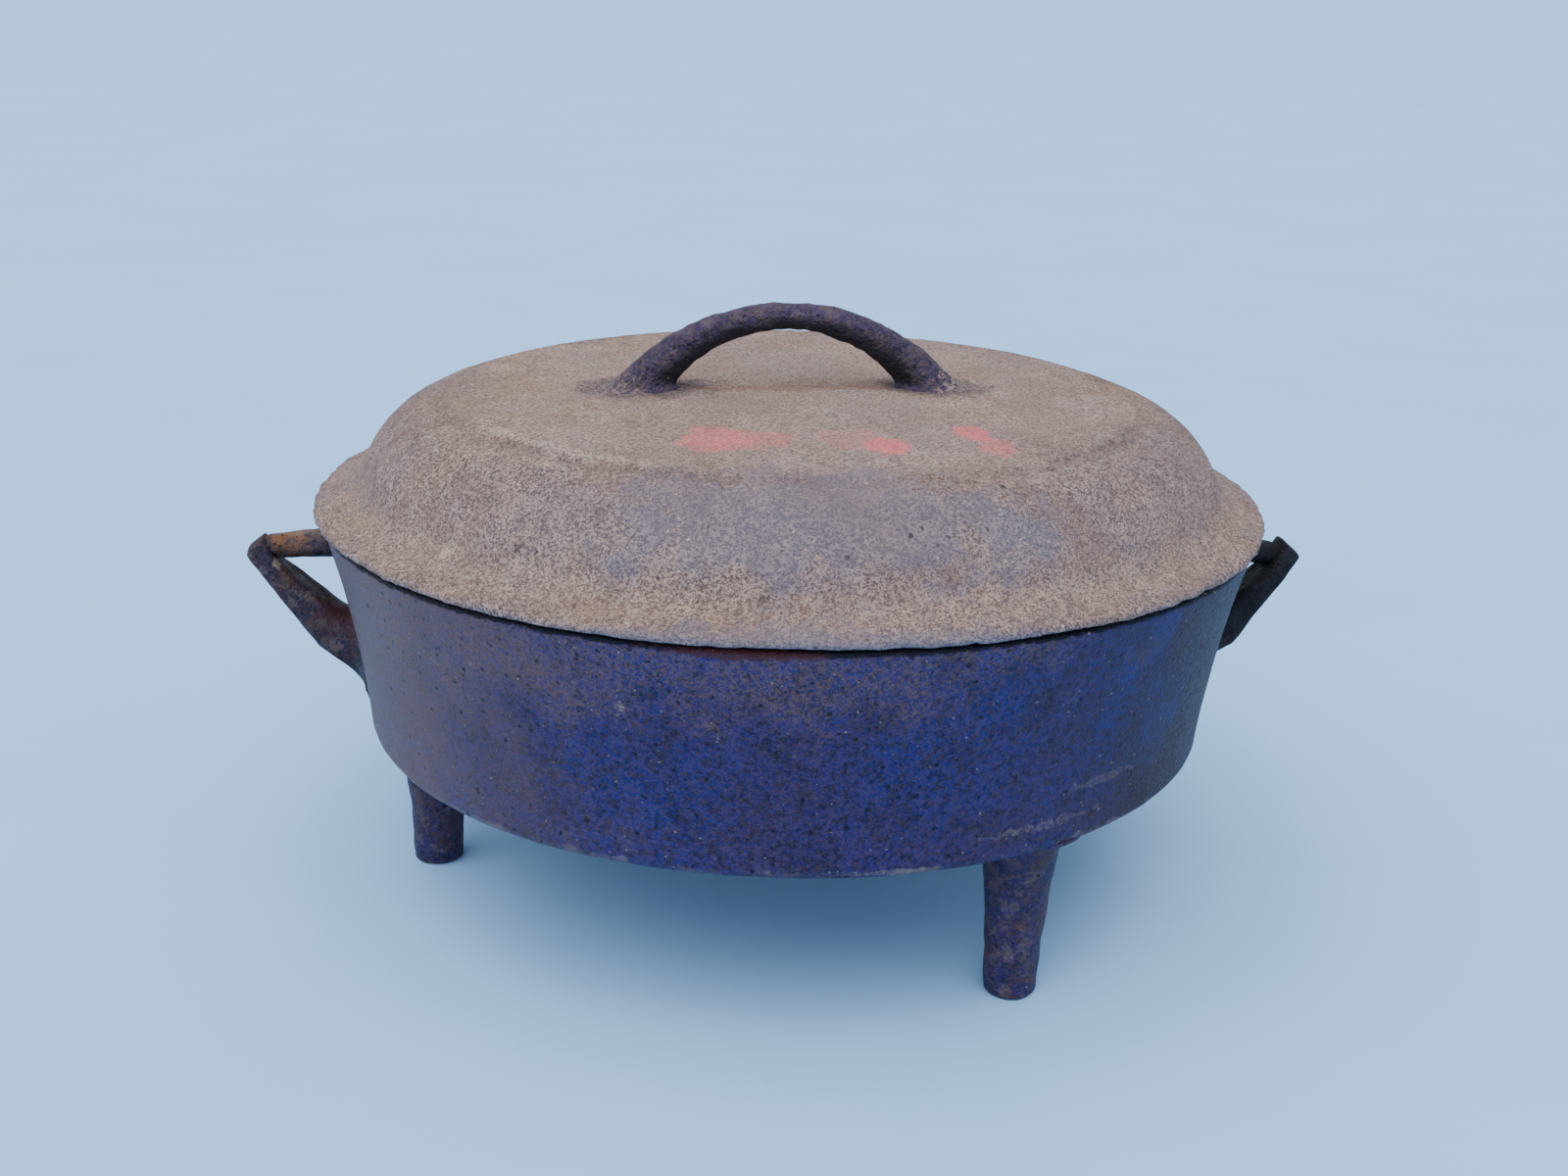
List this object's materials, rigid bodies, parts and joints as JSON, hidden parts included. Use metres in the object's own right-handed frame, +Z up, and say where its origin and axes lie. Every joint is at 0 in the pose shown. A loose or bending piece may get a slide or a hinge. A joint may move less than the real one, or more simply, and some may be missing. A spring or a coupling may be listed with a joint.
{
  "type": "dutch oven",
  "caption": "Round footed cast iron dutch oven: shallow flared bowl on tapered legs, angular ears for a bail, and a loose domed lid with an arched grip.",
  "frame": {"origin": "on the ground, on the axis of the bowl", "axes": "+X out through the right ear, +Y away from the side with the front leg, +Z up; the two ears lie along X and one leg stands under the left ear"},
  "size_m": [0.3514, 0.305, 0.1907],
  "materials": {
    "bowl_iron": "old seasoned sand-cast iron, blue-black, semi-matte, pitted",
    "leg_iron": "rough sand-cast iron, purple-black with thin rust",
    "ear_iron": "rough cast iron, black-brown with patches of orange rust",
    "lid_iron": "dry, dusty rusted iron, grainy and matte, with a few worn dabs of red paint",
    "lid_lip_iron": "unpainted cast iron, dark and slightly rusted",
    "grip_iron": "rough purple-black cast iron, worn by handling"
  },
  "bodies": {
    "pot": {"pot_bowl": "bowl_iron", "leg_left": "leg_iron", "leg_front_right": "leg_iron", "leg_back_right": "leg_iron", "ear_bar_left": "ear_iron", "ear_bar_right": "ear_iron", "ear_strut_left": "ear_iron", "ear_strut_right": "ear_iron"},
    "lid": {"lid_shell": "lid_iron", "lid_locating_lip": "lid_lip_iron", "lid_handle": "grip_iron"}
  },
  "joints": [
    {"name": "lid_lift", "type": "slide", "parent": "pot", "child": "lid", "axis": [0, 0, 1], "range_m": [0, 0.15]}
  ]
}
